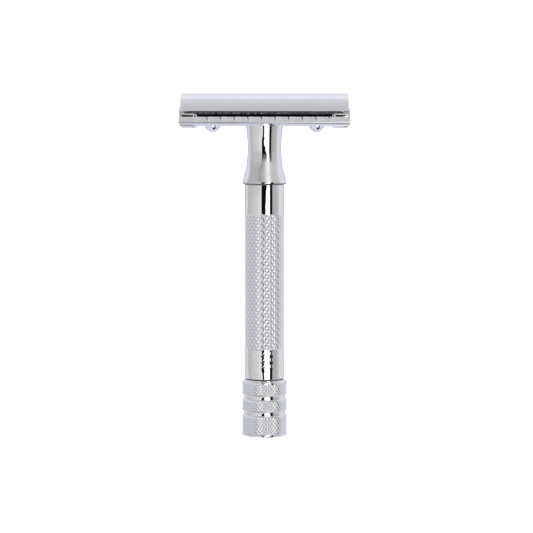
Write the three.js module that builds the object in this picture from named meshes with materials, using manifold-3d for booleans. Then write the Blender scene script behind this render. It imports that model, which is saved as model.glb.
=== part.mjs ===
// Double-edge safety razor with a two-piece head and a twist knob.
// Millimetres, +Z up, the front is -Y, the head's length lies along X.
// Origin: centre of the knob's flat bottom, where the razor stands.
//
// Turning the knob turns the spindle inside the handle. The spindle's nut thread
// draws the cap's stud down, and the cap bends the blade over the base plate.

import * as THREE from "three";
import { mergeVertices } from "three/addons/utils/BufferGeometryUtils.js";
import Module from "manifold-3d";

const wasm = await Module();
wasm.setup();

// ---------------------------------------------------------------- driving dimensions

const ROUND = 48; // sides of a large turned surface
const SMALL_ROUND = 28; // sides of a small turned surface
const RUNNING_GAP = 0.1; // radial clearance of a part that turns or slides
const PRESS_GAP = 0.05; // radial clearance drawn where a part is pressed in

// Levels along the handle.
const KNOB_TOP = 14.15;
const TUBE_BOTTOM = 14.4;
const TUBE_TOP = 62.75;
const PLATE_UNDERSIDE = 77.2;
const OVERALL_HEIGHT = 85.4;

// Knob.
const KNOB_RADIUS = 5.64;
const KNOB_BOTTOM_ROUND = 0.4;
const KNOB_GROOVE_DEPTH = 0.35;
const KNOB_GROOVES = [
  [5.08, 6.4],
  [9.06, 10.4],
];
const KNOB_SHOULDER = { bottom: 13.3, radius: 4.95 };
const KNOB_SOCKET = { radius: 2.6, depth: 5 };
const KNOB_WEB = { top: 6, holeRadius: 1.35 };
const END_PLUG_THICKNESS = 1.2;
const KNOB_SCREW = { headRadius: 2.3, headHeight: 1.6, shankRadius: 1.2, length: 6 };
const SCREW_RECESS = { radius: 1.1, depth: 0.9, sides: 6 };

// Handle tube and its bushes.
const TUBE_RADIUS = 4.92;
const TUBE_BORE = 4.1;
const TUBE_EDGE = 0.12;
const LOWER_BUSH = { bottom: 14.5, top: 19.5 };
const UPPER_BUSH = { bottom: 50, top: 56 };

// Spindle, and what keeps it in the handle.
const ROD_RADIUS = 2;
const ROD_FLAT = 1.6; // centre to flat, where the rod drives the knob
const SPINDLE_HEAD = { radius: 3.2, bottom: 60, top: 77 };
const SPINDLE_SHOULDER = 58;
const NUT_BORE = { radius: 2.6, bottom: 66 };
const SCREW_HOLE = { radius: 1.25, top: 12.5 };
const RING_GROOVE = { bottom: 20.7, top: 21.2, radius: 1.6 };
const RING = { innerRadius: 1.7, outerRadius: 3.2, mouthHalfAngle: 0.5 };
const THRUST_WASHER = { bottom: 19.5, thickness: 0.4, outerRadius: 3.8 };
const WAVE_WASHER = { middle: 20.3, thickness: 0.2, height: 0.18, waves: 3 };
const FRICTION_WASHER_RADIUS = 4.6;

// Neck, as [level, radius] up its waisted outside.
const NECK_OUTSIDE = [
  [63.4, 5.55],
  [64.8, 5.2],
  [67.1, 4.6],
  [70.1, 4.28],
  [71.8, 4.22],
  [74.5, 4.34],
  [PLATE_UNDERSIDE, 4.67],
];
const NECK_EDGE_ROUND = 0.4;
const NECK_BORE = 3.3;
const NECK_SPIGOT_BOTTOM = 56;

// Blade: a flat blade of the standard 22 mm width, bent over the base plate. Its end tabs
// stop just inside the cap's ends.
const BLADE_LENGTH = 41.4;
const BLADE_WIDTH = 22;
const BLADE_THICKNESS = 0.1;
const BLADE_EDGE_LENGTH = 37.3;
const BLADE_TAB_WIDTH = 13;
const BLADE_BEND = 20; // radius of the bent blade's middle surface
const BLADE_APEX = 83.1; // level of that surface at the middle of the head
const BLADE_SLOT = { halfWidth: 1.2, endX: 14.3, studHole: 2.95, pinHole: 1.9 };
const BEND_CENTRE = BLADE_APEX - BLADE_BEND;
const CLAMP_GAP = 0.05; // drawn between the blade and what clamps it

// Cap.
const CAP_HALF_LENGTH = 20.8;
const CAP_HALF_WIDTH = 9.7;
const CAP_EDGE_THICKNESS = 0.3;
const CAP_END_ROUND = 0.6;
const CAP_UNDERSIDE = BLADE_BEND + BLADE_THICKNESS / 2 + CLAMP_GAP;

// Stud and locating pins under the cap.
const STUD = { radius: 2.5, bottom: 72.2, top: 82.98, spigotRadius: 1.5, spigotTop: 84.3 };
const PIN_X = 12.9;
const PIN = { radius: 1, bottom: 76.6, top: 83.05, spigotRadius: 0.7, spigotTop: 84.2, tip: 0.35 };
const PIN_CUP = { radius: 2.1, bottom: 75.6, boreRadius: 1.3, boreBottom: 76.3 };

// Base plate, half of its section from the middle outwards.
const PLATE_HALF_LENGTH = 20.9;
const PLATE_HALF_WIDTH = 12.2;
const TABLE_HALF_WIDTH = 7.6;
const TABLE_RADIUS = BLADE_BEND - BLADE_THICKNESS / 2 - CLAMP_GAP;
const TROUGH_FLOOR = 78.6;
const BAR = { top: 79.4, inside: 10.6, ridge: 11, faceBottom: 77.7, curveBottom: 77.88, sweep: 1.31 };
const BELLY_HALF_WIDTH = 11;
const FLUTES = 11;
const FLUTE_PITCH = 3.3;
const FLUTE = {
  shift: -0.4,
  radius: 0.8,
  floorAtRidge: 79.13,
  fall: 0.7,
  slant: 0.31,
  inward: 1.2,
  outward: 2.5,
};
const FOOT = { innerX: 16.8, outerX: 20.6, halfWidth: 11.3, bottom: 76.65, lean: 0.7, outerLean: 0.35 };
const GUARD = { innerX: 17.05, outerX: 20.35, inside: 10.62, outside: 11.1, top: 80.15 };
const TROUGH_WALL = { innerX: 16.5, outerX: 17.1, outside: 10.3, top: 79.95 };
const POST_OUTSIDE = 10.85;
const CORNER = { innerX: 20.3, inside: 9.85, outside: 11, top: 81.2 };
const PLATE_STUD_HOLE = 2.75;
const PLATE_PIN_HOLE = 1.15;

// ---------------------------------------------------------------- materials

const plated = (color, roughness) =>
  new THREE.MeshStandardMaterial({ color, roughness, metalness: 1 });
const chrome = () => plated(0xd8d9de, 0.08);
const steel = () => plated(0xb4b6ba, 0.28);
const brass = () => plated(0xc9a24e, 0.3);
const polymer = () => new THREE.MeshStandardMaterial({ color: 0x26272a, roughness: 0.6 });

// ---------------------------------------------------------------- shape helpers

// A closed geometry whose shared vertices are one, with no collapsed triangles.
function welded(geometry) {
  const bare = geometry.clone();
  bare.deleteAttribute("normal");
  bare.deleteAttribute("uv");
  const merged = mergeVertices(bare, 1e-5);
  const index = [...merged.index.array];
  const kept = [];
  for (let i = 0; i < index.length; i += 3) {
    const [a, b, c] = index.slice(i, i + 3);
    if (a !== b && b !== c && c !== a) kept.push(a, b, c);
  }
  merged.setIndex(kept);
  return merged;
}

function solid(geometry) {
  const closed = welded(geometry);
  const vertProperties = new Float32Array(closed.attributes.position.array);
  const triVerts = new Uint32Array(closed.index.array);
  return new wasm.Manifold(new wasm.Mesh({ numProp: 3, vertProperties, triVerts }));
}

function geometryOf(manifold) {
  const mesh = manifold.getMesh();
  const geometry = new THREE.BufferGeometry();
  geometry.setAttribute("position", new THREE.BufferAttribute(mesh.vertProperties, 3));
  geometry.setIndex(new THREE.BufferAttribute(mesh.triVerts, 1));
  geometry.computeVertexNormals();
  return geometry;
}

// Points of an arc in a section plane, from one angle to another, in radians.
function arc(centre, radius, from, to, steps) {
  return Array.from({ length: steps + 1 }, (_, i) => {
    const angle = from + ((to - from) * i) / steps;
    return [centre[0] + radius * Math.cos(angle), centre[1] + radius * Math.sin(angle)];
  });
}

// A solid turned about Z from a profile of [radius, level] points.
// The profile runs up the outside and down any bore.
function turned(profile, sides = ROUND) {
  const points = profile.map(([radius, level]) => new THREE.Vector2(radius, level));
  return new THREE.LatheGeometry(points, sides).rotateX(Math.PI / 2);
}

// A plain ring or, with an inner radius of 0, a disc.
function ring(inner, outer, bottom, top, sides = SMALL_ROUND) {
  const profile = [
    [inner, bottom],
    [outer, bottom],
    [outer, top],
    [inner, top],
  ];
  if (inner > 0) profile.push([inner, bottom]);
  return turned(profile, sides);
}

// A prism along Z from an outline of [x, y] points or a THREE.Shape.
function prismZ(outline, bottom, top) {
  const shape = outline instanceof THREE.Shape
    ? outline
    : new THREE.Shape(outline.map((p) => new THREE.Vector2(...p)));
  const options = { depth: top - bottom, bevelEnabled: false, steps: 1 };
  return new THREE.ExtrudeGeometry(shape, options).translate(0, 0, bottom);
}

// A prism along X from an outline of [y, z] points.
function prismX(outline, from, to) {
  const turn = new THREE.Matrix4().makeBasis(
    new THREE.Vector3(0, 1, 0),
    new THREE.Vector3(0, 0, 1),
    new THREE.Vector3(1, 0, 0),
  );
  return prismZ(outline, from, to).applyMatrix4(turn);
}

// A prism along Y from an outline of [x, z] points.
function prismY(outline, from, to) {
  const turn = new THREE.Matrix4().makeBasis(
    new THREE.Vector3(1, 0, 0),
    new THREE.Vector3(0, 0, 1),
    new THREE.Vector3(0, -1, 0),
  );
  return prismZ(outline, -to, -from).applyMatrix4(turn);
}

function box(x, y, z) {
  return new THREE.BoxGeometry(x[1] - x[0], y[1] - y[0], z[1] - z[0]).translate(
    (x[0] + x[1]) / 2,
    (y[0] + y[1]) / 2,
    (z[0] + z[1]) / 2,
  );
}

// A half outline of [y, z] points, from the middle outwards, with its mirror image.
function mirrored(half) {
  const other = half.map(([y, z]) => [-y, z]).reverse();
  return [...half, ...other];
}

const joined = (geometries) =>
  geometries.map(solid).reduce((whole, piece) => whole.add(piece));

const levelOnBend = (radius, y) => BEND_CENTRE + Math.sqrt(radius ** 2 - y ** 2);

// ---------------------------------------------------------------- knob and its fixings

// The rod's drive end: a round with two flats, drawn larger by a clearance.
function driveEnd(clearance, bottom, top) {
  const reach = ROD_RADIUS + clearance;
  const flat = ROD_FLAT + clearance;
  const round = solid(ring(0, reach, bottom, top));
  return round.intersect(solid(box([-reach, reach], [-flat, flat], [bottom, top])));
}

// A shallow round-bottomed groove in a turned surface, from its lower edge up.
function grooveArc([bottom, top], surface, depth) {
  const half = (top - bottom) / 2;
  const radius = (half ** 2 + depth ** 2) / (2 * depth);
  const reach = Math.asin(half / radius);
  const centre = [surface + radius - depth, (bottom + top) / 2];
  return arc(centre, radius, Math.PI + reach, Math.PI - reach, 6);
}

function knobGeometry() {
  const outer = [
    ...arc(
      [KNOB_RADIUS - KNOB_BOTTOM_ROUND, KNOB_BOTTOM_ROUND],
      KNOB_BOTTOM_ROUND,
      -Math.PI / 2,
      0,
      4,
    ),
  ];
  for (const groove of KNOB_GROOVES) {
    outer.push(...grooveArc(groove, KNOB_RADIUS, KNOB_GROOVE_DEPTH));
  }
  outer.push([KNOB_RADIUS, KNOB_SHOULDER.bottom], [KNOB_SHOULDER.radius, KNOB_TOP]);
  const bore = [
    [KNOB_WEB.holeRadius, KNOB_TOP],
    [KNOB_WEB.holeRadius, KNOB_SOCKET.depth],
    [KNOB_SOCKET.radius, KNOB_SOCKET.depth],
    [KNOB_SOCKET.radius, 0],
  ];
  const profile = [...outer, ...bore, outer[0]];
  return geometryOf(
    solid(turned(profile)).subtract(driveEnd(PRESS_GAP, KNOB_WEB.top, KNOB_TOP + 1)),
  );
}

function knobScrewGeometry() {
  const top = KNOB_SOCKET.depth;
  const bottom = top - KNOB_SCREW.headHeight;
  const screw = solid(
    turned(
      [
        [0, bottom],
        [KNOB_SCREW.headRadius, bottom],
        [KNOB_SCREW.headRadius, top],
        [KNOB_SCREW.shankRadius, top],
        [KNOB_SCREW.shankRadius, top + KNOB_SCREW.length],
        [0, top + KNOB_SCREW.length],
      ],
      SMALL_ROUND,
    ),
  );
  const recess = new THREE.CylinderGeometry(
    SCREW_RECESS.radius,
    SCREW_RECESS.radius,
    2 * SCREW_RECESS.depth,
    SCREW_RECESS.sides,
  );
  return geometryOf(screw.subtract(solid(recess.rotateX(Math.PI / 2).translate(0, 0, bottom))));
}

// ---------------------------------------------------------------- spindle group

function spindleGeometry() {
  const profile = [
    [0, SCREW_HOLE.top],
    [SCREW_HOLE.radius, SCREW_HOLE.top],
    [SCREW_HOLE.radius, KNOB_WEB.top],
    [ROD_RADIUS, KNOB_WEB.top],
    [ROD_RADIUS, RING_GROOVE.bottom],
    [RING_GROOVE.radius, RING_GROOVE.bottom],
    [RING_GROOVE.radius, RING_GROOVE.top],
    [ROD_RADIUS, RING_GROOVE.top],
    [ROD_RADIUS, SPINDLE_SHOULDER],
    [SPINDLE_HEAD.radius, SPINDLE_HEAD.bottom],
    [SPINDLE_HEAD.radius, SPINDLE_HEAD.top],
    [NUT_BORE.radius, SPINDLE_HEAD.top],
    [NUT_BORE.radius, NUT_BORE.bottom],
    [0, NUT_BORE.bottom - 1],
  ];
  let spindle = solid(turned(profile, SMALL_ROUND));
  const flats = [KNOB_WEB.top - 1, KNOB_TOP + 0.1];
  for (const side of [-1, 1]) {
    const cut = [side * ROD_FLAT, side * (ROD_RADIUS + 1)].sort((a, b) => a - b);
    spindle = spindle.subtract(solid(box([-ROD_RADIUS, ROD_RADIUS], cut, flats)));
  }
  return geometryOf(spindle);
}

// An open ring that snaps into the rod's groove, its mouth towards +X.
function retainingRingGeometry() {
  const mouth = RING.mouthHalfAngle;
  const outline = [
    ...arc([0, 0], RING.outerRadius, mouth, 2 * Math.PI - mouth, 32),
    ...arc([0, 0], RING.innerRadius, 2 * Math.PI - mouth, mouth, 32),
  ];
  const slack = 0.05;
  return prismZ(outline, RING_GROOVE.bottom + slack, RING_GROOVE.top - slack);
}

function waveWasherGeometry() {
  const half = WAVE_WASHER.thickness / 2;
  const washer = ring(
    ROD_RADIUS + RUNNING_GAP,
    THRUST_WASHER.outerRadius,
    WAVE_WASHER.middle - half,
    WAVE_WASHER.middle + half,
    ROUND,
  );
  const position = washer.attributes.position;
  for (let i = 0; i < position.count; i += 1) {
    const angle = Math.atan2(position.getY(i), position.getX(i));
    const rise = WAVE_WASHER.height * Math.cos(WAVE_WASHER.waves * angle);
    position.setZ(i, position.getZ(i) + rise);
  }
  return washer;
}

const bushGeometry = ({ bottom, top }) =>
  ring(ROD_RADIUS + RUNNING_GAP, TUBE_BORE - PRESS_GAP, bottom, top);

// ---------------------------------------------------------------- handle

function tubeGeometry() {
  return turned([
    [TUBE_BORE, TUBE_BOTTOM],
    [TUBE_RADIUS - TUBE_EDGE, TUBE_BOTTOM],
    [TUBE_RADIUS, TUBE_BOTTOM + TUBE_EDGE],
    [TUBE_RADIUS, TUBE_TOP - TUBE_EDGE],
    [TUBE_RADIUS - TUBE_EDGE, TUBE_TOP],
    [TUBE_BORE, TUBE_TOP],
    [TUBE_BORE, TUBE_BOTTOM],
  ]);
}

// The waisted neck, with a spigot that is pressed into the tube.
function neckGeometry() {
  const [[flareLevel, flareRadius]] = NECK_OUTSIDE;
  const edge = arc(
    [flareRadius - NECK_EDGE_ROUND, TUBE_TOP + NECK_EDGE_ROUND],
    NECK_EDGE_ROUND,
    -Math.PI / 2,
    0,
    4,
  );
  const waist = new THREE.SplineCurve(
    NECK_OUTSIDE.map(([level, radius]) => new THREE.Vector2(radius, level)),
  ).getPoints(16);
  const spigot = TUBE_BORE - PRESS_GAP;
  return turned([
    [NECK_BORE, NECK_SPIGOT_BOTTOM],
    [spigot, NECK_SPIGOT_BOTTOM],
    [spigot, TUBE_TOP],
    ...edge.filter(([, level]) => level < flareLevel),
    ...waist.map((p) => [p.x, p.y]),
    [NECK_BORE, PLATE_UNDERSIDE],
    [NECK_BORE, NECK_SPIGOT_BOTTOM],
  ]);
}

// ---------------------------------------------------------------- head

// Section of the base plate: belly, safety bars, troughs and the convex blade table.
// Each bar's outer face leans back in an arc of an ellipse, so it never stands upright.
function plateSection() {
  const tableAngle = Math.asin(TABLE_HALF_WIDTH / TABLE_RADIUS);
  const halfTable = arc(
    [0, BEND_CENTRE],
    TABLE_RADIUS,
    Math.PI / 2 - tableAngle,
    Math.PI / 2,
    8,
  );
  const reach = (PLATE_HALF_WIDTH - BAR.ridge) / Math.sin(BAR.sweep);
  const drop = (BAR.top - BAR.curveBottom) / (1 - Math.cos(BAR.sweep));
  const barCurve = arc([0, 0], 1, Math.PI / 2 - BAR.sweep, Math.PI / 2, 7).map(([across, up]) => [
    BAR.ridge + reach * across,
    BAR.top - drop * (1 - up),
  ]);
  return mirrored([
    [BELLY_HALF_WIDTH, PLATE_UNDERSIDE],
    [BELLY_HALF_WIDTH + 0.5, PLATE_UNDERSIDE + 0.3],
    [PLATE_HALF_WIDTH - 0.12, BAR.faceBottom],
    ...barCurve,
    [BAR.inside + 0.2, BAR.top],
    [BAR.inside, BAR.top - 0.2],
    [BAR.inside, TROUGH_FLOOR],
    [TABLE_HALF_WIDTH, TROUGH_FLOOR],
    ...halfTable,
  ]).filter(([y, z], i, all) => i === 0 || y !== all[i - 1][0] || z !== all[i - 1][1]);
}

// A foot across one end of the plate's underside, with sloping ends.
function footGeometry(side) {
  const overlap = 0.1;
  const outline = [
    [side * FOOT.innerX, PLATE_UNDERSIDE + overlap],
    [side * (FOOT.innerX + FOOT.lean), FOOT.bottom],
    [side * (FOOT.outerX - FOOT.outerLean), FOOT.bottom],
    [side * FOOT.outerX, PLATE_UNDERSIDE + overlap],
  ];
  if (side < 0) outline.reverse();
  return prismY(outline, -FOOT.halfWidth, FOOT.halfWidth);
}

// What cuts one flute out of the front bar's leaning face, as a round groove that
// falls outwards and slants. Both angles are in radians.
function fluteGeometry(x) {
  const { radius, floorAtRidge, fall, slant, inward, outward } = FLUTE;
  return new THREE.CylinderGeometry(radius, radius, inward + outward, 16)
    .translate(0, (inward - outward) / 2, 0)
    .rotateX(fall)
    .rotateZ(slant)
    .translate(
      x + radius * Math.sin(slant) * Math.sin(fall),
      -BAR.ridge - radius * Math.cos(slant) * Math.sin(fall),
      floorAtRidge + radius * Math.cos(fall),
    );
}

// At each corner of the head: the guard in front of the blade's end, the trough's end
// wall with its post, and the upright at the very corner.
function cornerGeometries() {
  const corners = [];
  for (const sideX of [-1, 1]) {
    for (const sideY of [-1, 1]) {
      const span = (near, far, side) => [side * near, side * far].sort((a, b) => a - b);
      const guardX = span(GUARD.innerX, GUARD.outerX, sideX);
      const wallX = span(TROUGH_WALL.innerX, TROUGH_WALL.outerX, sideX);
      const guardY = span(GUARD.inside, GUARD.outside, sideY);
      const wallY = span(TABLE_HALF_WIDTH - 0.2, TROUGH_WALL.outside, sideY);
      const postY = span(TROUGH_WALL.outside - 0.1, POST_OUTSIDE, sideY);
      const uprightX = span(CORNER.innerX, PLATE_HALF_LENGTH, sideX);
      const uprightY = span(CORNER.inside, CORNER.outside, sideY);
      const floor = TROUGH_FLOOR - 0.1;
      corners.push(box(guardX, guardY, [floor, GUARD.top]));
      corners.push(box(wallX, wallY, [floor, TROUGH_WALL.top]));
      corners.push(box(wallX, postY, [floor, TROUGH_WALL.top]));
      corners.push(box(uprightX, uprightY, [floor, CORNER.top]));
    }
  }
  return corners;
}

function plateGeometry() {
  const half = PLATE_HALF_LENGTH;
  let plate = solid(prismX(plateSection(), -half, half));
  for (let k = 0; k < FLUTES; k += 1) {
    const cutter = fluteGeometry((k - (FLUTES - 1) / 2) * FLUTE_PITCH + FLUTE.shift);
    plate = plate.subtract(solid(cutter));
    plate = plate.subtract(solid(cutter.clone().rotateZ(Math.PI)));
  }
  plate = plate.add(joined([footGeometry(-1), footGeometry(1), ...cornerGeometries()]));
  const through = [FOOT.bottom - 1, BLADE_APEX + 1];
  plate = plate.subtract(solid(ring(0, PLATE_STUD_HOLE, ...through)));
  for (const side of [-1, 1]) {
    const hole = ring(0, PLATE_PIN_HOLE, ...through, 16).translate(side * PIN_X, 0, 0);
    plate = plate.subtract(solid(hole));
  }
  return geometryOf(plate);
}

function pinCupGeometry() {
  const centre = PIN_CUP.bottom + PIN_CUP.radius;
  const rim = Math.asin((PLATE_UNDERSIDE - centre) / PIN_CUP.radius);
  return turned(
    [
      ...arc([0, centre], PIN_CUP.radius, -Math.PI / 2, rim, 7),
      [PIN_CUP.boreRadius, PLATE_UNDERSIDE],
      [PIN_CUP.boreRadius, PIN_CUP.boreBottom],
      [0, PIN_CUP.boreBottom],
    ].map(([radius, level]) => [Math.max(radius, 0), level]),
    SMALL_ROUND,
  );
}

// The flat blade's outline as it looks from above once the blade is bent.
function bladeOutline() {
  const bent = (halfWidth) => BLADE_BEND * Math.sin(halfWidth / BLADE_BEND);
  const [endX, edgeX] = [BLADE_LENGTH / 2, BLADE_EDGE_LENGTH / 2];
  const [tabY, edgeY] = [bent(BLADE_TAB_WIDTH / 2), bent(BLADE_WIDTH / 2)];
  const quarter = [
    [endX, tabY - 0.6],
    [endX - 0.6, tabY],
    [edgeX, tabY],
    [edgeX, edgeY],
  ];
  const turnedBack = quarter.map(([x, y]) => [-x, y]).reverse();
  const front = [...quarter, ...turnedBack];
  const back = front.map(([x, y]) => [-x, -y]);
  const shape = new THREE.Shape([...front, ...back].map((p) => new THREE.Vector2(...p)));
  shape.holes.push(new THREE.Path(slotOutline().map((p) => new THREE.Vector2(...p))));
  return shape;
}

// The long slot: a narrow gap that widens to a round hole at the stud and at each pin.
function slotOutline() {
  const { halfWidth, endX, studHole, pinHole } = BLADE_SLOT;
  const [studAngle, pinAngle] = [Math.asin(halfWidth / studHole), Math.asin(halfWidth / pinHole)];
  const upper = [
    [endX + 0.9, halfWidth],
    ...arc([PIN_X, 0], pinHole, pinAngle, Math.PI - pinAngle, 8),
    ...arc([0, 0], studHole, studAngle, Math.PI - studAngle, 14),
    ...arc([-PIN_X, 0], pinHole, pinAngle, Math.PI - pinAngle, 8),
    [-endX - 0.9, halfWidth],
  ];
  return [...upper, ...upper.map(([x, y]) => [-x, -y])];
}

function bladeGeometry() {
  const half = BLADE_WIDTH / 2 / BLADE_BEND;
  const [inner, outer] = [-1, 1].map((side) => BLADE_BEND + (side * BLADE_THICKNESS) / 2);
  const [from, to] = [Math.PI / 2 - half, Math.PI / 2 + half];
  const section = [
    ...arc([0, BEND_CENTRE], outer, from, to, 20),
    ...arc([0, BEND_CENTRE], inner, to, from, 20),
  ];
  const sheet = solid(prismX(section, -BLADE_LENGTH / 2 - 1, BLADE_LENGTH / 2 + 1));
  const outline = solid(prismZ(bladeOutline(), BLADE_APEX - 5, BLADE_APEX + 1));
  return geometryOf(sheet.intersect(outline));
}

// The convex cap: a thin bowed section, its ends rounded along the top edge.
function capGeometry() {
  const edgeBottom = levelOnBend(CAP_UNDERSIDE, CAP_HALF_WIDTH);
  const edgeTop = edgeBottom + CAP_EDGE_THICKNESS;
  const rise = OVERALL_HEIGHT - edgeTop;
  const topRadius = (CAP_HALF_WIDTH ** 2 + rise ** 2) / (2 * rise);
  const topCentre = OVERALL_HEIGHT - topRadius;
  const topAngle = Math.asin(CAP_HALF_WIDTH / topRadius);
  const underAngle = Math.asin((CAP_HALF_WIDTH - 0.2) / CAP_UNDERSIDE);
  const section = [
    ...arc([0, topCentre], topRadius, Math.PI / 2 - topAngle, Math.PI / 2 + topAngle, 24),
    [-CAP_HALF_WIDTH, edgeBottom + 0.2],
    ...arc([0, BEND_CENTRE], CAP_UNDERSIDE, Math.PI / 2 + underAngle, Math.PI / 2 - underAngle, 16),
    [CAP_HALF_WIDTH, edgeBottom + 0.2],
  ];
  const half = CAP_HALF_LENGTH;
  const roundCentre = [half - CAP_END_ROUND, OVERALL_HEIGHT - CAP_END_ROUND];
  const frontOutline = mirrored([
    [half, edgeBottom - 1],
    ...arc(roundCentre, CAP_END_ROUND, 0, Math.PI / 2, 5),
  ]);
  let cap = solid(prismX(section, -half, half)).intersect(
    solid(prismY(frontOutline, -CAP_HALF_WIDTH - 1, CAP_HALF_WIDTH + 1)),
  );
  const seat = (fastener, x) =>
    solid(
      ring(
        0,
        fastener.spigotRadius + PRESS_GAP,
        fastener.top - 1,
        fastener.spigotTop + PRESS_GAP,
      ).translate(x, 0, 0),
    );
  cap = cap.subtract(seat(STUD, 0));
  for (const side of [-1, 1]) cap = cap.subtract(seat(PIN, side * PIN_X));
  return geometryOf(cap);
}

// A post that hangs from the cap, with a spigot set into the cap's underside.
function postGeometry({ radius, bottom, top, spigotRadius, spigotTop, tip = 0.4 }) {
  return turned(
    [
      [0, bottom],
      [radius - tip, bottom],
      [radius, bottom + tip],
      [radius, top],
      [spigotRadius, top],
      [spigotRadius, spigotTop],
      [0, spigotTop],
    ],
    SMALL_ROUND,
  );
}

// ---------------------------------------------------------------- assembly

function named(name, geometry, material, x = 0) {
  const mesh = new THREE.Mesh(geometry, material);
  mesh.name = name;
  mesh.position.x = x;
  return mesh;
}

const washerBore = ROD_RADIUS + RUNNING_GAP;
const thrustTop = THRUST_WASHER.bottom + THRUST_WASHER.thickness;

const handle = new THREE.Group();
handle.add(
  named("handle_tube", tubeGeometry(), chrome()),
  named("neck_collar", neckGeometry(), chrome()),
  named("base_plate", plateGeometry(), chrome()),
  named("pin_cup_left", pinCupGeometry(), chrome(), -PIN_X),
  named("pin_cup_right", pinCupGeometry(), chrome(), PIN_X),
  named("upper_bush", bushGeometry(UPPER_BUSH), brass()),
  named("lower_bush", bushGeometry(LOWER_BUSH), brass()),
);

const knobDrive = new THREE.Group();
knobDrive.add(
  named("knob", knobGeometry(), chrome()),
  named(
    "knob_end_plug",
    ring(0, KNOB_SOCKET.radius - PRESS_GAP, 0, END_PLUG_THICKNESS),
    chrome(),
  ),
  named("knob_screw", knobScrewGeometry(), steel()),
  named("drive_spindle", spindleGeometry(), brass()),
  named(
    "friction_washer",
    ring(washerBore, FRICTION_WASHER_RADIUS, KNOB_TOP, TUBE_BOTTOM, ROUND),
    polymer(),
  ),
  named(
    "thrust_washer",
    ring(washerBore, THRUST_WASHER.outerRadius, THRUST_WASHER.bottom, thrustTop),
    steel(),
  ),
  named("wave_spring_washer", waveWasherGeometry(), steel()),
  named("spindle_retaining_ring", retainingRingGeometry(), steel()),
);

const cap = new THREE.Group();
cap.add(
  named("top_cap", capGeometry(), chrome()),
  named("cap_stud", postGeometry(STUD), steel()),
  named("locating_pin_left", postGeometry(PIN), steel(), -PIN_X),
  named("locating_pin_right", postGeometry(PIN), steel(), PIN_X),
);

const razor = new THREE.Group();
razor.add(handle, knobDrive, cap, named("razor_blade", bladeGeometry(), steel()));

export default razor;
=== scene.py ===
import math

import bmesh
import bpy
import numpy as np
from mathutils import Matrix, Vector


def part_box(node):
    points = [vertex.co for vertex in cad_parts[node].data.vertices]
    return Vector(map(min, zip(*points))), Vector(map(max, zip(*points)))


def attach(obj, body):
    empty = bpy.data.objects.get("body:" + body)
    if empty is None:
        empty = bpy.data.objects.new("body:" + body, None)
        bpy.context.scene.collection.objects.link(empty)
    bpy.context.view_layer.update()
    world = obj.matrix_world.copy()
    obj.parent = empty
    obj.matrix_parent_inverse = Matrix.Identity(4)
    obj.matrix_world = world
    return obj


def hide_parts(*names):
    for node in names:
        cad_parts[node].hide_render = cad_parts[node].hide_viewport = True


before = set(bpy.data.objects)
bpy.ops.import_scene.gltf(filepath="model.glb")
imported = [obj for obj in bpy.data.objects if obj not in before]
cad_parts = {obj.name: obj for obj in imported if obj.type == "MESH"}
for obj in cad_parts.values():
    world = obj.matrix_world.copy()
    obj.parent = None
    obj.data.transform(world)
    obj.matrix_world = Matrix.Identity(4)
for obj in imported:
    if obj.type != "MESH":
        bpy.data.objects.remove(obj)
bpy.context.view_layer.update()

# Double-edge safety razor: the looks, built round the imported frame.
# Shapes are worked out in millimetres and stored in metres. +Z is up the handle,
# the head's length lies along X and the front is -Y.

MM = 0.001
TURN = 2 * math.pi

# ------ sizes from the frame


class Box:
    """The corners of a CAD node in millimetres."""

    def __init__(self, node):
        low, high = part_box(node)
        self.low = np.array(low) / MM
        self.high = np.array(high) / MM
        self.size = self.high - self.low
        self.middle = (self.high + self.low) / 2
        self.bottom = self.low[2]
        self.top = self.high[2]
        self.radius = self.size[1] / 2


TUBE = Box("handle_tube")
NECK = Box("neck_collar")
PLATE = Box("base_plate")
CUP = Box("pin_cup_right")
UPPER_BUSH = Box("upper_bush")
LOWER_BUSH = Box("lower_bush")
KNOB = Box("knob")
PLUG = Box("knob_end_plug")
SCREW = Box("knob_screw")
SPINDLE = Box("drive_spindle")
FRICTION = Box("friction_washer")
THRUST = Box("thrust_washer")
WAVE = Box("wave_spring_washer")
CLIP = Box("spindle_retaining_ring")
CAP = Box("top_cap")
STUD = Box("cap_stud")
PIN = Box("locating_pin_right")
BLADE = Box("razor_blade")

PIN_X = PIN.middle[0]
ROD_RADIUS = 2.0
RUNNING_GAP = 0.1
ROD_HOLE = ROD_RADIUS + RUNNING_GAP
TUBE_BORE = 4.1
NECK_BORE = 3.3
PRESS_GAP = 0.05

STUD_CREST = 2.5
STUD_ROOT = 2.06
STUD_SPIGOT = 1.5
NUT_CREST = 2.16
NUT_ROOT = 2.6
PITCH = 0.8
PIN_SHANK = 1.0
PIN_SPIGOT = 0.7

# The blade is bent to an arc across the head. APEX is its middle surface at the head's middle.
APEX = BLADE.top - 0.05
BEND = 20.0
BEND_CENTRE = APEX - BEND
CAP_UNDERSIDE = BEND + 0.1
TABLE_RADIUS = BEND - 0.1
TABLE_HALF_WIDTH = 7.6

UNDERSIDE = NECK.top
TROUGH_FLOOR = UNDERSIDE + 1.4
RIDGE_LEVEL = UNDERSIDE + 2.2
RIDGE = PLATE.high[1] - 1.2
RIDGE_INSIDE = PLATE.high[1] - 1.6
FOOT_TOP = UNDERSIDE + 0.12

# ------ mesh helpers


def linked(name, data):
    """An object in the scene that holds a mesh, a camera or a light."""
    made = bpy.data.objects.new(name, data)
    bpy.context.scene.collection.objects.link(made)
    return made


def mesh_from(name, points, faces):
    """A mesh in metres from points in millimetres."""
    mesh = bpy.data.meshes.new(name)
    mesh.from_pydata([Vector(p) * MM for p in points], [], faces)
    return mesh


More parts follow.
